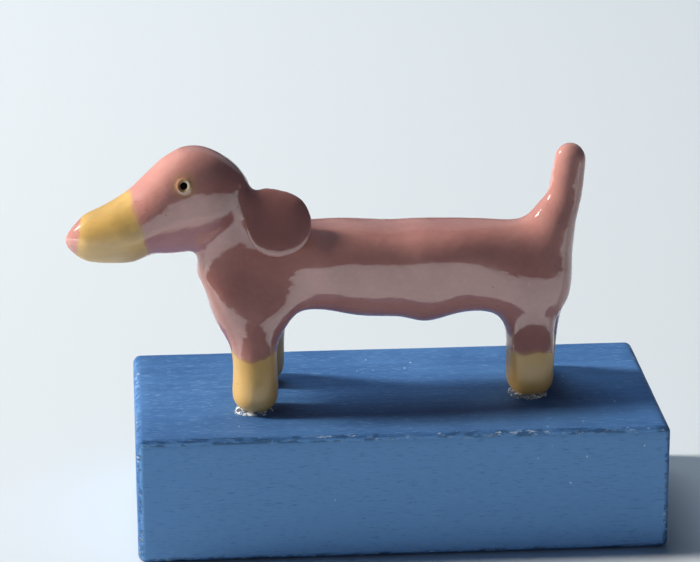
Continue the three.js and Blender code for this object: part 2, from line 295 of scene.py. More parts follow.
class BlockSizes(PropertyGroup):
    """The wooden block; its length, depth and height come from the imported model"""

    edge_radius: size("Edge radius", 1.5, "Radius of the sanded edges")
    facet: size("Facets", 1.5, "Size of the faces of the block's sides")
    warp: size("Warp", 0.08, "How uneven the sides are")
    chip: size("Chips", 0.22, "How deep the edges are worn and chipped")
    paint: colour("Paint", 0.062, 0.165, 0.38, "Blue paint")
    paint_deep: colour("Deep paint", 0.047, 0.13, 0.318, "Blue paint where it lies thick")
    # Chalky paint: used for random chalky clouds, and as painted light on the front and back faces
    paint_chalky_and_lit: colour("Chalky and lit paint", 0.165, 0.375, 0.72, "Blue paint that has gone chalky")
    paint_rubbed: colour("Rubbed paint", 0.22, 0.40, 0.66, "Blue paint where it is rubbed on the grain")
    # Painted shade: a dark broken line along the block's edges, where the rounding turns from the light
    edge: colour("Edge line", 0.025, 0.06, 0.13, "Dirt in the cracks of the paint along the edges")
    bare: colour("Bare wood", 0.56, 0.67, 0.76, "Primed wood where the paint is worn off")


class GlueSizes(PropertyGroup):
    """The dabs of clear glue"""

    height: size("Height", 1.3, "Height of a dab in its middle")
    spread: size("Spread", 0.7, "How unevenly a dab spreads")
    clear: colour("Clear", 0.86, 0.90, 0.90, "Set glue")
    white: colour("White", 0.93, 0.94, 0.92, "Cloudy flecks in the glue")


class StageSettings(PropertyGroup):
    """Camera and floor"""

    azimuth: angle("Azimuth", -4.054, "Turn of the camera round the object")
    elevation: angle("Elevation", 17.888, "Angle of the camera above the horizon")
    roll: angle("Roll", -0.231, "Turn of the camera about its own axis")
    eye: FloatVectorProperty(
        name="Camera place",
        description="Where the camera stands",
        subtype="TRANSLATION",
        unit="LENGTH",
        default=(-0.05065, -0.5967, 0.23971),
    )
    lens: share("Lens", 169.43, "Focal length on a sensor 36 mm wide")
    floor: colour("Floor", 0.67, 0.715, 0.745, "Pale floor")


class FigurineSettings(PropertyGroup):
    """All that can be set"""

    torso: pointer(TorsoRoll, "Torso", "Sizes of the torso")
    neck: pointer(NeckRoll, "Neck", "Sizes of the neck")
    head: pointer(HeadRoll, "Head", "Sizes of the head")
    ear: pointer(EarRoll, "Ear", "Sizes of an ear")
    front_leg: pointer(FrontLegRoll, "Front leg", "Sizes of a front leg")
    rear_leg: pointer(RearLegRoll, "Rear leg", "Sizes of a rear leg")
    tail: pointer(TailRoll, "Tail", "Sizes of the tail")
    clay: pointer(ClaySizes, "Clay", "How the clay was worked")
    glaze: pointer(GlazeColours, "Glaze", "Colours of the glazes")
    block: pointer(BlockSizes, "Block", "Sizes and colours of the block")
    glue: pointer(GlueSizes, "Glue", "Sizes and colours of the glue")
    stage: pointer(StageSettings, "Stage", "Camera and floor")


def settings():
    """What the sidebar shows"""
    return bpy.context.scene.figurine


def link(item):
    """Puts an object into the scene"""
    bpy.context.scene.collection.objects.link(item)


# Clay rolls

X_AXIS = Vector((1, 0, 0))
Y_AXIS = Vector((0, 1, 0))
SECTION_CORNERS = 56
SECTIONS = 110
CURVE_STEPS = 24
TIP = 0.02 * MM


def smooth_line(points):
    """A smooth line through the points"""
    before = points[0] * 2 - points[1]
    after = points[-1] * 2 - points[-2]
    padded = [before, *points, after]
    line = []
    for earlier, start, end, later in zip(padded, padded[1:], padded[2:], padded[3:]):
        leaving = start + (end - earlier) / 6
        arriving = end - (later - start) / 6
        line += interpolate_bezier(start, leaving, arriving, end, CURVE_STEPS)[:-1]
    return np.array([*line, points[-1]])


def opening(distance, round_length, bluntness):
    """How far a rounded end has opened, from 0 at its tip to 1 where the rounding stops"""
    left = np.clip(1 - distance / round_length, 0, 1)
    return (1 - left**bluntness) ** (1 / bluntness)


def sections_of(roll):
    """A roll's sections, in the order in which its group lists them"""
    values = (getattr(roll, name) for name in type(roll).__annotations__)
    return [tuple(value) for value in values if hasattr(value, "__len__")]


def section_loops(roll, sections, side, facing):
    """The corners of each section of a roll. Sections stand square to the roll's spine, or to facing where
    that is given."""
    spine = smooth_line([Vector(values[:3]) for values in sections])
    spans = smooth_line([Vector((wide / 2, deep / 2, lift)) for *_, wide, deep, lift in sections])
    steps = np.linalg.norm(np.diff(spine, axis=0), axis=1)
    along = np.concatenate(([0.0], np.cumsum(steps)))
    length = along[-1]
    spread = (1 - np.cos(np.linspace(0, pi, SECTIONS))) / 2
    distances = TIP + (length - 2 * TIP) * spread
    open_start = opening(distances, roll.start_round, roll.bluntness)
    open_end = opening(length - distances, roll.end_round, roll.bluntness)

    def at(values):
        return np.stack([np.interp(distances, along, column) for column in values.T], axis=1)

    centres = at(spine)
    sizes = at(spans) * (open_start * open_end)[:, None]
    aheads = np.gradient(centres, distances, axis=0)
    turns = np.linspace(0, 2 * pi, SECTION_CORNERS, endpoint=False)
    sideways, upward = (
        np.copysign(np.abs(values) ** (2 / roll.squareness), values)
        for values in (np.cos(turns), np.sin(turns))
    )
    sideways *= 1 - getattr(roll, "keel", 0.0) * np.clip(-upward, 0, 1)
    loops = []
    for centre, (half_wide, half_deep, lift), ahead in zip(centres, sizes, aheads):
        forward = (facing or Vector(ahead)).normalized()
        across = (side - forward * side.dot(forward)).normalized()
        up = forward.cross(across)
        rises = half_deep * upward + lift * (1 - upward**2)
        loops.append(centre + np.outer(half_wide * sideways, across) + np.outer(rises, up))
    return loops


def rolled(roll, sections=None, side=Y_AXIS, facing=None):
    """A closed clay roll: a loop that is drawn out from section to section"""
    first, *others = section_loops(roll, sections or sections_of(roll), side, facing)
    clay = bmesh.new()
    number = clay.verts.layers.int.new("corner")
    corners = bmesh.ops.create_circle(clay, cap_ends=True, segments=SECTION_CORNERS, radius=1)["verts"]
    for index, corner in enumerate(corners):
        corner[number] = index
        corner.co = first[index]
    rim = clay.edges[:]
    for loop in others:
        drawn = bmesh.ops.extrude_edge_only(clay, edges=rim)["geom"]
        corners = {part for part in drawn if isinstance(part, bmesh.types.BMVert)}
        rim = [
            part
            for part in drawn
            if isinstance(part, bmesh.types.BMEdge) and corners.issuperset(part.verts)
        ]
        for corner in corners:
            corner.co = loop[corner[number]]
    bmesh.ops.edgeloop_fill(clay, edges=rim)
    bmesh.ops.recalc_face_normals(clay, faces=clay.faces)
    return clay


def leg_sections(roll, foot):
    """A leg's sections over the place of its foot"""
    place = foot_places[foot]
    inward = -1 if place.y > 0 else 1
    back = roll.far_back if foot == "rear_right" else 0.0
    return [
        (place.x + x + back, place.y + inward * across, *others)
        for x, across, *others in sections_of(roll)
    ]


def ear_sections(roll, side):
    """An ear's sections, on the left where side is -1 and on the right where it is 1"""
    sections = sections_of(roll)
    if side < 0:
        return sections
    return [
        (x - roll.right_ahead, -across, height - roll.right_drop, *others)
        for x, across, height, *others in sections
    ]


def clay_rolls():
    """Every clay member as a closed roll, by name"""
    made = settings()
    rolls = {
        "torso": rolled(made.torso, facing=X_AXIS),
        "neck": rolled(made.neck),
        "head": rolled(made.head, facing=X_AXIS),
        "tail": rolled(made.tail),
    }
    for ear, side in EARS.items():
        rolls[ear] = rolled(made.ear, ear_sections(made.ear, side), side=X_AXIS)
    for foot in FEET:
        roll = made.front_leg if foot.startswith("front") else made.rear_leg
        rolls[f"{foot}_leg"] = rolled(roll, leg_sections(roll, foot))
    return rolls


# The skin that the rolls make together

# Which rolls are luted together, how far the joint is smoothed on either side, and how firmly
LUTED = (
    ("torso", "neck", 8.0 * MM, 1.0),
    ("torso", "tail", 9.0 * MM, 1.0),
    ("neck", "head", 2.2 * MM, 0.7),
    ("torso", "head", 1.5 * MM, 0.5),
    *((end, f"{foot}_leg", 8.5 * MM, 1.0) for end in ("torso", "neck") for foot in FEET),
    *((ear, "head", 3.2 * MM, 0.8) for ear in EARS),
    *((ear, end, 0.8 * MM, 0.3) for ear in EARS for end in ("neck", "torso")),
)
ROLLING = {"factor": 0.5, "iterations": 8}
LUTING = {"factor": 0.5, "iterations": 220}
SMALL_DENT_SEED = Vector((7.3, 1.9, 4.6))


def eased(value):
    """A value from 0 to 1, with a soft start and end"""
    value = min(max(value, 0.0), 1.0)
    return value * value * (3 - 2 * value)


def modified(mesh, modifiers, weights=None):
    """A copy of a mesh after some modifiers, each a kind with its settings. Weights make a vertex group."""
    holder = bpy.data.objects.new("clay", mesh)
    link(holder)
    if weights:
        group = holder.vertex_groups.new(name="weights")
        for index, weight in enumerate(weights):
            group.add([index], weight, "REPLACE")
    for kind, values in modifiers:
        modifier = holder.modifiers.new(kind.title(), kind)
        for name, value in values.items():
            setattr(modifier, name, value)
    graph = bpy.context.evaluated_depsgraph_get()
    result = bpy.data.meshes.new_from_object(holder.evaluated_get(graph))
    bpy.data.objects.remove(holder)
    return result


def to_mesh(shape, name):
    """A bmesh as a mesh; the bmesh is freed"""
    mesh = bpy.data.meshes.new(name)
    shape.to_mesh(mesh)
    shape.free()
    return mesh


def heaped(rolls):
    """All the rolls in one mesh"""
    heap = bmesh.new()
    for roll in rolls.values():
        mesh = bpy.data.meshes.new("roll")
        roll.to_mesh(mesh)
        heap.from_mesh(mesh)
        bpy.data.meshes.remove(mesh)
    return to_mesh(heap, "heap")


def luting_weights(mesh, rolls):
    """How firmly each point of the skin is smoothed: most where two luted rolls meet"""
    trees = {name: BVHTree.FromBMesh(roll) for name, roll in rolls.items()}
    furthest = max(reach for _, _, reach, _ in LUTED)
    weights = []
    for vertex in mesh.vertices:
        gaps = {name: tree.find_nearest(vertex.co, furthest)[3] for name, tree in trees.items()}
        weight = 0.0
        for first, second, reach, firmness in LUTED:
            if gaps[first] is not None and gaps[second] is not None:
                closeness = 1 - max(gaps[first], gaps[second]) / reach
                weight = max(weight, firmness * eased(closeness))
        weights.append(weight)
    return weights


def dented(mesh):
    """Presses broad and small dents into the skin, as hands do"""
    sizes = settings().clay
    normals = [vertex.normal.copy() for vertex in mesh.vertices]
    for vertex, normal in zip(mesh.vertices, normals):
        broad = noise.noise(vertex.co / sizes.broad_span)
        small = noise.noise(vertex.co / sizes.small_span + SMALL_DENT_SEED)
        vertex.co += normal * (broad * sizes.broad_dent + small * sizes.small_dent)


# In radii of an eye: the clay that moves, the hole's flat bottom, and its rim's place and width
EYE_REGION = 4.0
EYE_BOTTOM = 0.2
RIM_PLACE = 1.6
RIM_WIDTH = 0.5
EYE_CUTS = 3
BESIDE_HEAD = 20 * MM


def poke_eye(clay, side):
    """Pokes an eye into one side of the head, and raises a rim round it"""
    sizes = settings().clay
    outside = Vector((sizes.eye_ahead, side * BESIDE_HEAD, sizes.eye_height))
    place, normal, _, _ = BVHTree.FromBMesh(clay).ray_cast(outside, Y_AXIS * -side)
    region = EYE_REGION * sizes.eye_radius
    faces = [face for face in clay.faces if (face.calc_center_median() - place).length < region]
    edges = list({edge for face in faces for edge in face.edges})
    bmesh.ops.subdivide_edges(clay, edges=edges, cuts=EYE_CUTS, use_grid_fill=True)
    for vertex in clay.verts:
        away = vertex.co - place
        if away.length > region:
            continue
        radius = (away - normal * away.dot(normal)).length / sizes.eye_radius
        hole = sizes.eye_depth * (1 - eased(radius - EYE_BOTTOM))
        rim = sizes.eye_rim * exp(-(((radius - RIM_PLACE) / RIM_WIDTH) ** 2))
        vertex.co += normal * (rim - hole)


def press_skin():
    """The dog's whole skin as one closed mesh in the row's frame, and the rolls that it was made of"""
    rolls = clay_rolls()
    heap = heaped(rolls)
    grain = settings().clay.grain
    remesh = {"mode": "VOXEL", "voxel_size": grain}
    pressed = modified(heap, [("REMESH", remesh), ("SMOOTH", ROLLING)])
    weights = luting_weights(pressed, rolls)
    luted = modified(pressed, [("SMOOTH", {**LUTING, "vertex_group": "weights"})], weights)
    dented(luted)
    clay = bmesh.new()
    clay.from_mesh(luted)
    for side in (-1, 1):
        poke_eye(clay, side)
    bmesh.ops.transform(clay, matrix=dog_place, verts=clay.verts)
    bmesh.ops.recalc_face_normals(clay, faces=clay.faces)
    for mesh in (heap, pressed, luted):
        bpy.data.meshes.remove(mesh)
    return to_mesh(clay, SKIN), rolls


# Cutting the skin into pieces

SKIN = "clay_skin"
TRUNK = "clay_trunk"
GLAZE = "brushed_pink_glaze"
EAR_MARGIN = 0.6 * MM
CUTTER_GRAIN = 0.37 * MM
CUT_WIDTH = 0.0001 * MM
ON_SKIN = 0.003 * MM
ALONG_SKIN = 0.6
FRONT_KNEE = 10.8 * MM
REAR_KNEE = 9.6 * MM


def plane(x, z, ahead, up):
    """A plane across the dog, by a point and a direction in its own frame, taken to the row's frame"""
    normal = dog_place.to_3x3() @ Vector((ahead, 0, up))
    return dog_place @ Vector((x, 0, z)), normal.normalized()


def other_side(cut_plane):
    """The same plane, facing the other way"""
    point, normal = cut_plane
    return point, -normal


DOCK = plane(31.5 * MM, 35.5 * MM, 0.45, 0.9)
THROAT = plane(-38.2 * MM, 28.6 * MM, -0.685, 0.727)
WITHERS = plane(-14.6 * MM, 0, -1, 0)
FRONT_LEG_CUT = plane(0, FRONT_KNEE, 0, 1)
REAR_LEG_CUT = plane(0, REAR_KNEE, 0, 1)
BELLY = plane(0, 0, 1, 0)
MIDLINE = (dog_place.translation, dog_place.to_3x3() @ Y_AXIS)


def cut(mesh, *planes):
    """The part of a closed mesh that lies behind all the planes, capped where it is cut"""
    piece = bmesh.new()
    piece.from_mesh(mesh)
    for point, normal in planes:
        parts = piece.verts[:] + piece.edges[:] + piece.faces[:]
        made = bmesh.ops.bisect_plane(
            piece, geom=parts, dist=CUT_WIDTH, plane_co=point, plane_no=normal, clear_outer=True
        )
        rim = [part for part in made["geom_cut"] if isinstance(part, bmesh.types.BMEdge)]
        if rim:
            bmesh.ops.triangle_fill(piece, use_beauty=True, edges=rim, normal=normal)
    bmesh.ops.recalc_face_normals(piece, faces=piece.faces)
    return piece


def carved(mesh, cutter, operation):
    """A mesh cut by another"""
    holder = bpy.data.objects.new("cutter", cutter)
    link(holder)
    values = {"object": holder, "operation": operation, "solver": "EXACT"}
    result = modified(mesh, [("BOOLEAN", values)])
    bpy.data.objects.remove(holder)
    return result


def ear_cutter(roll):
    """The space that an ear takes out of the skin: its roll, a little larger"""
    for vertex in roll.verts:
        vertex.co += vertex.normal * EAR_MARGIN
    bmesh.ops.transform(roll, matrix=dog_place, verts=roll.verts)
    grown = bpy.data.meshes.new("grown_ear")
    roll.to_mesh(grown)
    cutter = modified(grown, [("REMESH", {"mode": "VOXEL", "voxel_size": CUTTER_GRAIN})])
    bpy.data.meshes.remove(grown)
    return cutter


def skin_normals(mesh):
    """A normal for each corner of a piece: the whole skin's where the piece is glazed, and the face's own
    where it was cut"""
    skin = bpy.data.meshes[SKIN]
    points = [vertex.co for vertex in skin.vertices]
    normals = [vertex.normal for vertex in skin.vertices]
    faces = [tuple(face.vertices) for face in skin.polygons]
    tree = BVHTree.FromPolygons(points, faces)
    found = []
    for vertex in mesh.vertices:
        place, _, index, gap = tree.find_nearest(vertex.co)
        if gap > ON_SKIN:
            found.append(None)
            continue
        shares = poly_3d_calc([points[corner] for corner in faces[index]], place)
        mixed = sum((normals[corner] * part for corner, part in zip(faces[index], shares)), Vector())
        found.append(mixed.normalized())
    corners = []
    for face in mesh.polygons:
        own = [found[index] for index in face.vertices]
        glazed = all(normal is not None and normal.dot(face.normal) > ALONG_SKIN for normal in own)
        corners += own if glazed else [face.normal.copy()] * len(own)
    return corners


def add_piece(name, mesh, node, material):
    """Puts a finished piece into the scene in place of its CAD node"""
    mesh.name = name
    mesh.materials.clear()
    mesh.materials.append(material)
    mesh.shade_smooth()
    piece = bpy.data.objects.new(name, mesh)
    link(piece)
    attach(piece, BODY)
    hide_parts(node)


def add_clay(node, mesh):
    """Puts a clay piece into the scene, glazed"""
    material = bpy.data.materials.get(GLAZE) or pink_glaze()
    add_piece(f"glazed_{node}", mesh, node, material)
    mesh.normals_split_custom_set(skin_normals(mesh))


def cut_from_trunk(node, *planes):
    """Adds the clay piece that lies behind all the planes"""
    add_clay(node, to_mesh(cut(bpy.data.meshes[TRUNK], *planes), node))


# Finishes


class Finish:
    """A material in the making, with short ways to add the nodes that the finishes share"""

    def __init__(self, name, place):
        self.material = bpy.data.materials.new(name)
        self.material.use_nodes = True
        self.tree = self.material.node_tree
        self.shader = self.tree.nodes["Principled BSDF"]
        coordinates = self.add("ShaderNodeTexCoord").outputs["Object"]
        values = {
            "Vector": coordinates,
            "Location": place.translation,
            "Rotation": place.to_euler(),
            "Scale": (MM, MM, MM),
        }
        # Millimetres in the frame that place gives
        self.point = self.add("ShaderNodeMapping", values, vector_type="TEXTURE").outputs["Vector"]
        split = self.add("ShaderNodeSeparateXYZ", {"Vector": self.point})
        self.x, self.y, self.z = split.outputs

    def add(self, kind, inputs=None, **values):
        """A node with these values, and with its inputs set or linked"""
        node = self.tree.nodes.new(kind)
        for name, value in values.items():
            setattr(node, name, value)
        for socket, value in (inputs or {}).items():
            self.put(node.inputs[socket], value)
        return node

    def put(self, socket, value):
        """Links an output to a socket, or sets a value on it"""
        if isinstance(value, bpy.types.NodeSocket):
            self.tree.links.new(value, socket)
        elif isinstance(value, (int, float)):
            socket.default_value = value
        else:
            numbers = tuple(value)
            socket.default_value = numbers + (1.0,) * (len(socket.default_value) - len(numbers))

    def finish(self, **inputs):
        """Sets the shader's own sockets and gives the material"""
        for name, value in inputs.items():
            self.put(self.shader.inputs[name.replace("_", " ")], value)
        return self.material

    def math(self, operation, first, second=0.0):
        return self.add("ShaderNodeMath", {0: first, 1: second}, operation=operation).outputs[0]

    def times(self, first, second):
        return self.math("MULTIPLY", first, second)

    def sum(self, first, second, times=1.0):
        """first + second * times"""
        inputs = {0: second, 1: times, 2: first}
        return self.add("ShaderNodeMath", inputs, operation="MULTIPLY_ADD").outputs[0]

    def noise(self, scale, detail=2.0, roughness=0.5, point=None):
        inputs = {"Vector": point or self.point, "Scale": scale, "Detail": detail, "Roughness": roughness}
        return self.add("ShaderNodeTexNoise", inputs).outputs[0]

    def streaks(self, along, across, detail, roughness):
        """Noise with one scale along X and another across it"""
        inputs = {0: self.point, 1: (along, across, across)}
        point = self.add("ShaderNodeVectorMath", inputs, operation="MULTIPLY").outputs[0]
        return self.noise(1.0, detail, roughness, point)

    def spots(self, scale):
        """Distance to the nearest of many scattered points, in shares of their spacing"""
        return self.add("ShaderNodeTexVoronoi", {"Vector": self.point, "Scale": scale}).outputs["Distance"]

    def fade(self, value, start, end):
        """0 at start and 1 at end, with a soft change between them"""
        inputs = {"Value": value, "From Min": start, "From Max": end}
        node = self.add("ShaderNodeMapRange", inputs, interpolation_type="SMOOTHSTEP")
        return node.outputs[0]

    def graded(self, value, start, end, first, last):
        """A value that goes straight from first at start to last at end"""
        inputs = {"Value": value, "From Min": start, "From Max": end, "To Min": first, "To Max": last}
        return self.add("ShaderNodeMapRange", inputs).outputs[0]

    def mix(self, factor, first, second):
        """Two colours mixed"""
        # The sockets for colours, by number because the node has others with the same names
        inputs = {0: factor, 6: first, 7: second}
        return self.add("ShaderNodeMix", inputs, data_type="RGBA").outputs[2]

    def bump(self, height, strength, depth):
        """Normals of a surface that a height between 0 and 1 raises by up to depth millimetres"""
        inputs = {"Height": height, "Strength": strength, "Distance": depth * MM}
        return self.add("ShaderNodeBump", inputs).outputs[0]

    def distance(self, place, point=None):
        """Millimetres from a place"""
        inputs = {0: point or self.point, 1: place}
        return self.add("ShaderNodeVectorMath", inputs, operation="DISTANCE").outputs["Value"]


# Where the glaze changes, in millimetres in the dog's frame. A pair says where a change starts and ends.
# Middle and reach of the painted shade on the nape and ears
NAPE_PLACE = (-25, 0, 41.5)
NAPE_REACH = (13.0, 8.0)
RUMP_REACH = (24.0, 36.0)
NOSE_PLACE = (-62.8, -1.9, 34.4)
NOSE_REACH = (4.0, 5.2)
FOREHEAD_PLACE = (-47, -1, 47)
FOREHEAD_REACH = (9.0, 5.0)
MUZZLE_MIDDLE = 33.0
MUZZLE_LEAN = 0.3
MUZZLE_EDGE = (-46.9, -48.3)
SOCK_SPAN = (-5.0, 5.0)
SOCK_HEIGHTS = (11.3, 9.6)
SOCK_EDGE = (0.7, -0.7)
EDGE_WANDER = 3.0
SOCK_WANDER = 4.0
EYE_HALO = (3.0, 1.0)
# Where an eye rim turns from painted shade ahead of the eye to painted light behind it
EYE_LIT_SIDE = (-0.3, 0.8)
EYE_RIM = (1.3, 1.0)
# Reach of the painted shade in the eye holes
EYE_HOLE = (0.76, 0.58)
# Where the paint changes, in millimetres from a side or from an edge
# Where the painted light on the front and back faces starts and ends, from those faces
LIT_SIDE_REACH = (0.5, 0.1)
# Place and fade of the painted shade line along the edges
SHADE_LINE_PLACE = 1.0
SHADE_LINE_FADE = (0.25, 0.05)
WEAR_REACH = (1.5, 0.6)
# How the finishes reflect
GLAZE_IOR = 1.85
PAINT_SPECULAR = 0.14
GLUE_IOR = 1.47


def pink_glaze():
    """Glossy pink glaze, ochre on muzzle and feet; painted shade on ears, nape and eyes, painted light on
    eye rims
    """
    made = settings()
    colours = made.glaze
    glaze = Finish(GLAZE, dog_place)

    broad = glaze.noise(0.07, detail=3.0, roughness=0.55)
    fine = glaze.noise(0.9, detail=3.0, roughness=0.6)
    pink = glaze.mix(glaze.fade(broad, 0.35, 0.7), colours.pink, colours.pink_deep)
    pink = glaze.mix(glaze.times(glaze.fade(fine, 0.4, 0.8), 0.25), pink, colours.pink_thin)

    flat = glaze.add("ShaderNodeCombineXYZ", {"X": glaze.x, "Z": glaze.z}).outputs[0]
    # Painted shade: the pink darkens on the ears, nape and back of the head, where the head's shadow falls
    darker = glaze.fade(glaze.distance(NAPE_PLACE, flat), *NAPE_REACH)
    pink = glaze.mix(glaze.times(darker, 0.8), pink, colours.pink_painted_shade)
    thin = glaze.fade(glaze.x, *RUMP_REACH)
    pink = glaze.mix(glaze.times(thin, 0.4), pink, colours.pink_thin)

    edge = glaze.math("SUBTRACT", glaze.noise(0.16), 0.5)
    leaning = glaze.sum(glaze.x, glaze.math("SUBTRACT", glaze.z, MUZZLE_MIDDLE), MUZZLE_LEAN)
    muzzle = glaze.fade(glaze.sum(leaning, edge, EDGE_WANDER), *MUZZLE_EDGE)
    nose = glaze.fade(glaze.sum(glaze.distance(NOSE_PLACE), edge, EDGE_WANDER), *NOSE_REACH)
    sock_height = glaze.graded(glaze.x, *SOCK_SPAN, *SOCK_HEIGHTS)
    above_sock = glaze.math("SUBTRACT", glaze.sum(glaze.z, edge, SOCK_WANDER), sock_height)
    sock = glaze.fade(above_sock, *SOCK_EDGE)
    ochre_mask = glaze.math("MAXIMUM", glaze.times(muzzle, nose), sock)
    streak = glaze.streaks(0.12, 0.3, detail=3.0, roughness=0.6)
    pale = glaze.math("MAXIMUM", glaze.times(glaze.fade(streak, 0.35, 0.75), 0.7), sock)
    ochre = glaze.mix(pale, colours.ochre, colours.ochre_pale)
    coat = glaze.mix(ochre_mask, pink, ochre)

    eye = (made.clay.eye_ahead / MM, 0, made.clay.eye_height / MM)
    from_eye = glaze.distance(eye, flat)
    halo = glaze.times(glaze.fade(glaze.sum(from_eye, edge, EDGE_WANDER), *EYE_HALO), 0.45)
    coat = glaze.mix(halo, coat, colours.ochre)
    # Painted light and shade on the eye rim: pale behind the eye, where the rim faces the light, brown
    # ahead of it
    eye_lit_side = glaze.fade(glaze.math("SUBTRACT", glaze.x, eye[0]), *EYE_LIT_SIDE)
    rim = glaze.mix(eye_lit_side, colours.rim_painted_shade, colours.rim)
    coat = glaze.mix(glaze.fade(from_eye, *EYE_RIM), coat, rim)
    # Painted shade inside the eye holes
    coat = glaze.mix(glaze.fade(from_eye, *EYE_HOLE), coat, colours.hole)

    sparse = glaze.fade(glaze.noise(0.25), 0.5, 0.6)
    specks = glaze.times(glaze.fade(glaze.spots(0.55), 0.10, 0.05), sparse)
    coat = glaze.mix(glaze.times(specks, 0.7), coat, colours.speck)

    gloss = glaze.graded(fine, 0.3, 0.7, 0.05, 0.11)
    forehead = glaze.fade(glaze.distance(FOREHEAD_PLACE), *FOREHEAD_REACH)
    satin = glaze.sum(glaze.times(forehead, 0.6), ochre_mask, 0.28)
    skin = glaze.sum(glaze.noise(0.5, detail=2.0, roughness=0.4), specks, -0.5)
    return glaze.finish(
        Base_Color=coat,
        Roughness=glaze.math("ADD", gloss, satin),
        IOR=GLAZE_IOR,
        Normal=glaze.bump(skin, 0.35, 0.25),
    )


def blue_paint():
    """Satin blue paint over wood, rubbed pale on the grain and worn through on the edges; painted light on
    the long sides, painted shade along the edges
    """
    sizes = settings().block
    centre = Matrix.Translation((block_low + block_high) / 2)
    paint = Finish("worn_blue_paint", centre)
    half = (block_high - block_low) / (2 * MM)
    gaps = []
    for reach, value in zip(half, (paint.x, paint.y, paint.z)):
        gaps.append(paint.math("SUBTRACT", reach, paint.math("ABSOLUTE", value)))

    brushed = paint.streaks(0.035, 0.55, detail=4.0, roughness=0.6)
    cloudy = paint.noise(0.05, detail=3.0, roughness=0.5)
    grain = paint.streaks(0.45, 3.2, detail=3.0, roughness=0.65)
    blue = paint.mix(paint.fade(brushed, 0.3, 0.7), sizes.paint_deep, sizes.paint)
    clouds = paint.times(paint.fade(cloudy, 0.4, 0.8), 0.25)
    blue = paint.mix(clouds, blue, sizes.paint_chalky_and_lit)
    # Painted light: the front and back faces are paler and chalkier, standing in for the light that the
    # floor throws on them
    lit_long_sides = paint.fade(gaps[1], *LIT_SIDE_REACH)
    blue = paint.mix(paint.times(lit_long_sides, 0.9), blue, sizes.paint_chalky_and_lit)
    rubbed = paint.fade(grain, 0.54, 0.70)
    blue = paint.mix(paint.times(rubbed, 0.6), blue, sizes.paint_rubbed)
    pores = paint.fade(grain, 0.44, 0.30)
    blue = paint.mix(paint.times(pores, 0.5), blue, sizes.paint_deep)

    deepest = paint.math("MAXIMUM", paint.math("MAXIMUM", gaps[0], gaps[1]), gaps[2])
    total = paint.math("ADD", paint.math("ADD", gaps[0], gaps[1]), gaps[2])
    from_edge = paint.math("SUBTRACT", total, deepest)
    patchy = paint.noise(0.12)
    broken = paint.streaks(0.3, 0.9, detail=3.0, roughness=0.6)
    # Painted shade: a dark broken line along the rounded edges
    off_line = paint.math("ABSOLUTE", paint.math("SUBTRACT", from_edge, SHADE_LINE_PLACE))
    edge_shade_line = paint.times(paint.fade(off_line, *SHADE_LINE_FADE), paint.fade(broken, 0.5, 0.58))
    blue = paint.mix(paint.times(edge_shade_line, 0.6), blue, sizes.edge)
    rough = paint.streaks(0.5, 1.5, detail=4.0, roughness=0.7)
    wear = paint.times(paint.fade(from_edge, *WEAR_REACH), paint.fade(rough, 0.57, 0.64))
    wear = paint.times(wear, paint.fade(patchy, 0.58, 0.48))
    nicks = paint.times(paint.fade(paint.spots(0.22), 0.06, 0.03), paint.fade(cloudy, 0.45, 0.6))
    bare = paint.math("MAXIMUM", wear, nicks)
    blue = paint.mix(bare, blue, sizes.bare)

    height = paint.sum(paint.sum(grain, brushed, 0.6), bare, -0.4)
    return paint.finish(
        Base_Color=blue,
        Roughness=paint.graded(grain, 0.3, 0.7, 0.42, 0.6),
        Specular_IOR_Level=PAINT_SPECULAR,
        Normal=paint.bump(height, 0.5, 0.12),
    )


def clear_glue():
    """Clear set glue with cloudy white flecks"""
    colours = settings().glue
    glue = Finish("set_clear_glue", dog_place)
    flecks = glue.fade(glue.noise(1.1, detail=3.0, roughness=0.6), 0.50, 0.60)
    return glue.finish(
        Base_Color=glue.mix(flecks, colours.clear, colours.white),
        Roughness=0.08,
        IOR=GLUE_IOR,
        Alpha=glue.graded(flecks, 0.0, 1.0, 0.12, 0.9),
    )


# Operators


class FIGURINE_OT_clay(Operator):
    """Roll the clay, press it together into one skin, and take the ears out of it"""

    bl_idname = "figurine.clay"
    bl_label = "Roll and Lute the Clay"

    def execute(self, context):
        skin, rolls = press_skin()
        trunk = skin.copy()
        for ear in EARS:
            cutter = ear_cutter(rolls[ear])
            carved(skin, cutter, "INTERSECT").name = f"clay_{ear}"
            whole = trunk
            trunk = carved(whole, cutter, "DIFFERENCE")
            for used in (cutter, whole):
                bpy.data.meshes.remove(used)
        trunk.name = TRUNK
        for roll in rolls.values():
            roll.free()
        return {"FINISHED"}


class ClayCut:
    """What the operators share that cut one piece out of the clay"""

    def execute(self, context):
        cut_from_trunk(self.node, *self.planes)
        return {"FINISHED"}


class FIGURINE_OT_torso(ClayCut, Operator):
    """Cut the torso out of the clay, with the tops of the rear legs"""

    bl_idname = "figurine.torso"
    bl_label = "Torso"
    node = "torso"
    planes = (WITHERS, DOCK, other_side(REAR_LEG_CUT))


class FIGURINE_OT_neck(ClayCut, Operator):
    """Cut chest and neck out of the clay, with the tops of the front legs"""

    bl_idname = "figurine.neck"
    bl_label = "Neck"
    node = "neck"
    planes = (other_side(WITHERS), THROAT, other_side(FRONT_LEG_CUT))


class FIGURINE_OT_head(ClayCut, Operator):
    """Cut the head out of the clay"""

    bl_idname = "figurine.head"
    bl_label = "Head"
    node = "head"
    planes = (other_side(THROAT),)


class FIGURINE_OT_tail(ClayCut, Operator):
    """Cut the tail out of the clay"""

    bl_idname = "figurine.tail"
    bl_label = "Tail"
    node = "tail"
    planes = (other_side(DOCK),)


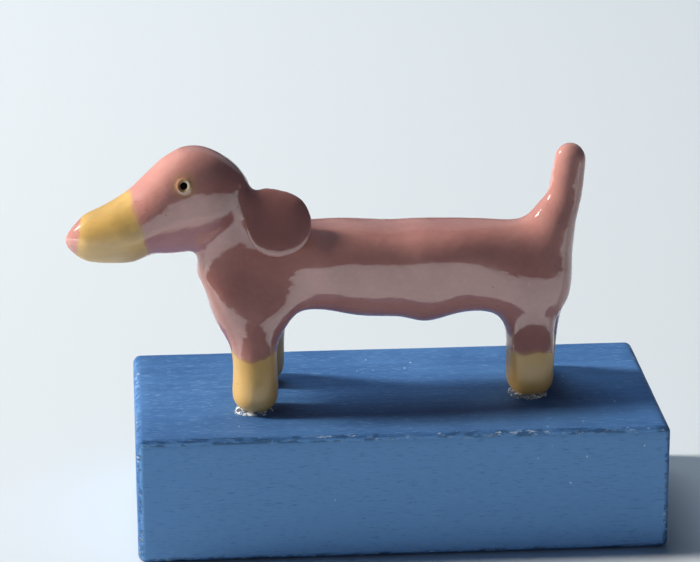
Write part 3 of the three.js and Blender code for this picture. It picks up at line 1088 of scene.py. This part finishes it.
class FIGURINE_OT_ears(Operator):
    """Glaze both ears"""

    bl_idname = "figurine.ears"
    bl_label = "Ears"

    def execute(self, context):
        for ear in EARS:
            add_clay(ear, bpy.data.meshes[f"clay_{ear}"])
        return {"FINISHED"}


class FIGURINE_OT_legs(Operator):
    """Cut the four legs out of the clay"""

    bl_idname = "figurine.legs"
    bl_label = "Legs"

    def execute(self, context):
        for foot in FEET:
            front = foot.startswith("front")
            knee = FRONT_LEG_CUT if front else REAR_LEG_CUT
            end = BELLY if front else other_side(BELLY)
            side = MIDLINE if foot.endswith("left") else other_side(MIDLINE)
            cut_from_trunk(f"{foot}_leg", knee, end, side)
        return {"FINISHED"}


GLUE_STEPS = 48
GLUE_PROFILE_STEPS = 7
GLUE_LUMP = 1.6 * MM
WELD = 0.001 * MM
DAB_SHARE = 0.75


class FIGURINE_OT_glue(Operator):
    """Model the dabs of glue that the feet stand in"""

    bl_idname = "figurine.glue"
    bl_label = "Glue"

    def execute(self, context):
        material = clear_glue()
        for foot in FEET:
            add_piece(f"glue_dab_{foot}", glue_dab(foot), f"glue_{foot}", material)
        return {"FINISHED"}


def glue_dab(foot):
    """A low uneven dome round the place of a foot"""
    sizes = settings().glue
    low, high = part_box(f"glue_{foot}")
    radius = (high.x - low.x) / 2 * DAB_SHARE
    centre = glue_middles[foot].copy()
    centre.z = low.z
    dab = bmesh.new()
    profile = [dab.verts.new(centre)]
    for step in range(GLUE_PROFILE_STEPS + 1):
        turn = Matrix.Rotation(-pi / 2 * step / GLUE_PROFILE_STEPS, 3, "Y")
        point = turn @ X_AXIS
        profile.append(dab.verts.new(centre + Vector((point.x * radius, 0, point.z * sizes.height))))
    for first, second in zip(profile, profile[1:]):
        dab.edges.new((first, second))
    parts = dab.verts[:] + dab.edges[:]
    round_the_foot = {"cent": centre, "axis": (0, 0, 1), "angle": 2 * pi, "steps": GLUE_STEPS}
    bmesh.ops.spin(dab, geom=parts, use_merge=True, **round_the_foot)
    bmesh.ops.remove_doubles(dab, verts=dab.verts, dist=WELD)
    for vertex in dab.verts:
        away = vertex.co - centre
        away.z = 0
        spread = sizes.spread * noise.noise(vertex.co / GLUE_LUMP)
        vertex.co += away / radius * spread
    bmesh.ops.recalc_face_normals(dab, faces=dab.faces)
    return to_mesh(dab, foot)


EDGE_SEGMENTS = 5
ROUND_PROFILE = 0.5
SAME_LENGTH = 0.01 * MM
CHIP_EXTRA = 0.1
WARP_SPAN = 24 * MM
CHIP_SPAN = 3.2 * MM


class FIGURINE_OT_block(Operator):
    """Model the painted wooden block, with sanded and worn edges"""

    bl_idname = "figurine.block"
    bl_label = "Block"

    def execute(self, context):
        add_piece("painted_block", wooden_block(), "base_block", blue_paint())
        return {"FINISHED"}


def wooden_block():
    """A block with rounded edges, its sides a little uneven and its edges worn"""
    sizes = settings().block
    extent = block_high - block_low
    centre = (block_low + block_high) / 2
    wood = bmesh.new()
    bmesh.ops.create_cube(wood, size=1, matrix=Matrix.Translation(centre) @ Matrix.Diagonal((*extent, 1)))
    bmesh.ops.bevel(
        wood,
        geom=wood.edges[:],
        offset=sizes.edge_radius,
        offset_type="OFFSET",
        segments=EDGE_SEGMENTS,
        profile=ROUND_PROFILE,
        affect="EDGES",
        material=-1,
    )
    for axis in range(3):
        run = extent[axis] - 2 * sizes.edge_radius
        long_edges = [edge for edge in wood.edges if abs(edge.calc_length() - run) < SAME_LENGTH]
        cuts = round(run / sizes.facet)
        bmesh.ops.subdivide_edges(wood, edges=long_edges, cuts=cuts, use_grid_fill=True)
    wood.normal_update()
    for vertex in wood.verts:
        gaps = sorted(half - abs(place) for half, place in zip(extent / 2, vertex.co - centre))
        from_edge = gaps[0] + gaps[1]
        warp = sizes.warp * noise.noise(vertex.co / WARP_SPAN)
        near = eased(1 - from_edge / sizes.edge_radius)
        chip = sizes.chip * near * max(0.0, noise.noise(vertex.co / CHIP_SPAN) + CHIP_EXTRA)
        above_base = vertex.co.z > block_low.z + sizes.edge_radius
        vertex.co += vertex.normal * ((warp if above_base else 0.0) - chip)
    return to_mesh(wood, "block")


SENSOR_WIDTH = 36.0
FLOOR_REACH = 6.0
FLOOR_SEGMENTS = 64
AMBIENT = 0.048
AMBIENT_TINT = (0.48, 0.80, 1.45, 1.0)


class FIGURINE_OT_stage(Operator):
    """Set up the camera, the floor and the light"""

    bl_idname = "figurine.stage"
    bl_label = "Stage"

    def execute(self, context):
        add_camera()
        add_floor()
        add_world()
        for lamp in LAMPS:
            add_lamp(*lamp)
        context.scene.view_settings.view_transform = "Standard"
        return {"FINISHED"}


def add_camera():
    """The camera, at the place from which the object is matched"""
    stage = settings().stage
    data = bpy.data.cameras.new("camera")
    data.sensor_width = SENSOR_WIDTH
    data.lens = stage.lens
    camera = bpy.data.objects.new("camera", data)
    turn = Matrix.Rotation(stage.azimuth, 4, "Z") @ Matrix.Rotation(pi / 2 - stage.elevation, 4, "X")
    camera.matrix_world = Matrix.Translation(stage.eye) @ turn @ Matrix.Rotation(stage.roll, 4, "Z")
    link(camera)
    bpy.context.scene.camera = camera


def add_floor():
    """A wide pale floor under the block"""
    floor = bmesh.new()
    bmesh.ops.create_circle(floor, cap_ends=True, segments=FLOOR_SEGMENTS, radius=FLOOR_REACH)
    bmesh.ops.translate(floor, vec=(0, 0, block_low.z), verts=floor.verts)
    mesh = to_mesh(floor, "floor")
    pale = Finish("floor", Matrix())
    pale.finish(Base_Color=settings().stage.floor, Roughness=0.9, Specular_IOR_Level=0.2)
    mesh.materials.append(pale.material)
    piece = bpy.data.objects.new("floor", mesh)
    link(piece)


def add_world():
    """Dim light from all round; the floor fills the camera's view"""
    world = bpy.data.worlds.new("studio")
    world.use_nodes = True
    light = world.node_tree.nodes["Background"]
    light.inputs["Color"].default_value = AMBIENT_TINT
    light.inputs["Strength"].default_value = AMBIENT
    bpy.context.scene.world = world


# Name, place, what it points at, width, height, power and colour of each lamp, and whether it lights a
# surface or its gloss
MIDDLE = (0.0, 0.0, 0.03)
LAMPS = (
    ("key", (-1.60, 0.25, 1.25), MIDDLE, 0.26, 0.7, 53.0, (1.0, 0.96, 0.89), "diffuse"),
    ("low_window", (-1.60, 0.16, 0.22), MIDDLE, 0.30, 0.3, 17.0, (1.0, 0.95, 0.88), "diffuse"),
    ("wall", (0.0, 1.60, 0.75), MIDDLE, 3.0, 1.0, 1.8, (0.90, 0.95, 1.0), "glossy"),
    ("sky", (-0.40, 1.20, 1.60), MIDDLE, 1.2, 1.2, 16.0, (0.80, 0.91, 1.0), "diffuse"),
    ("fill", (0.0, -1.20, 0.15), MIDDLE, 0.8, 0.2, 0.8, (1.0, 0.97, 0.94), "diffuse"),
    ("window", (-1.20, 0.80, 0.72), MIDDLE, 0.28, 0.36, 3.2, (1.0, 1.0, 1.0), "glossy"),
    ("table_card", (0.0, -1.54, 0.002), (0.0, -1.54, 1.0), 3.0, 3.0, 12.5, (0.95, 0.98, 1.0), "glossy"),
)


def add_lamp(name, place, target, width, height, power, tint, lights):
    """A soft lamp that the camera doesn't see"""
    data = bpy.data.lights.new(name, "AREA")
    data.shape = "RECTANGLE"
    data.size = width
    data.size_y = height
    data.energy = power
    data.color = tint
    lamp = bpy.data.objects.new(name, data)
    lamp.location = place
    lamp.rotation_euler = (Vector(target) - Vector(place)).to_track_quat("-Z", "Y").to_euler()
    lamp.visible_camera = False
    lamp.visible_diffuse = lights == "diffuse"
    lamp.visible_glossy = lights == "glossy"
    link(lamp)


class FIGURINE_PT_sidebar(Panel):
    """Lists the figurine's operators and settings"""

    bl_idname = "FIGURINE_PT_sidebar"
    bl_label = "Dachshund Figurine"
    bl_space_type = "VIEW_3D"
    bl_region_type = "UI"
    bl_category = "Figurine"

    def draw(self, context):
        for operator in OPERATORS:
            self.layout.operator(operator.bl_idname)
        for name in FigurineSettings.__annotations__:
            group = getattr(settings(), name)
            box = self.layout.box()
            for prop in type(group).__annotations__:
                box.prop(group, prop)


GROUPS = (
    TorsoRoll,
    NeckRoll,
    HeadRoll,
    EarRoll,
    FrontLegRoll,
    RearLegRoll,
    TailRoll,
    ClaySizes,
    GlazeColours,
    BlockSizes,
    GlueSizes,
    StageSettings,
    FigurineSettings,
)
OPERATORS = (
    FIGURINE_OT_stage,
    FIGURINE_OT_clay,
    FIGURINE_OT_torso,
    FIGURINE_OT_neck,
    FIGURINE_OT_head,
    FIGURINE_OT_tail,
    FIGURINE_OT_ears,
    FIGURINE_OT_legs,
    FIGURINE_OT_glue,
    FIGURINE_OT_block,
)
CLASSES = (*GROUPS, *OPERATORS, FIGURINE_PT_sidebar)


def register():
    for made in CLASSES:
        bpy.utils.register_class(made)
    bpy.types.Scene.figurine = PointerProperty(type=FigurineSettings)


def unregister():
    del bpy.types.Scene.figurine
    for made in reversed(CLASSES):
        bpy.utils.unregister_class(made)


def main():
    register()
    for operator in OPERATORS:
        group, name = operator.bl_idname.split(".")
        getattr(getattr(bpy.ops, group), name)()
    for name in (SKIN, TRUNK):
        bpy.data.meshes.remove(bpy.data.meshes[name])


if __name__ == "__main__":
    main()
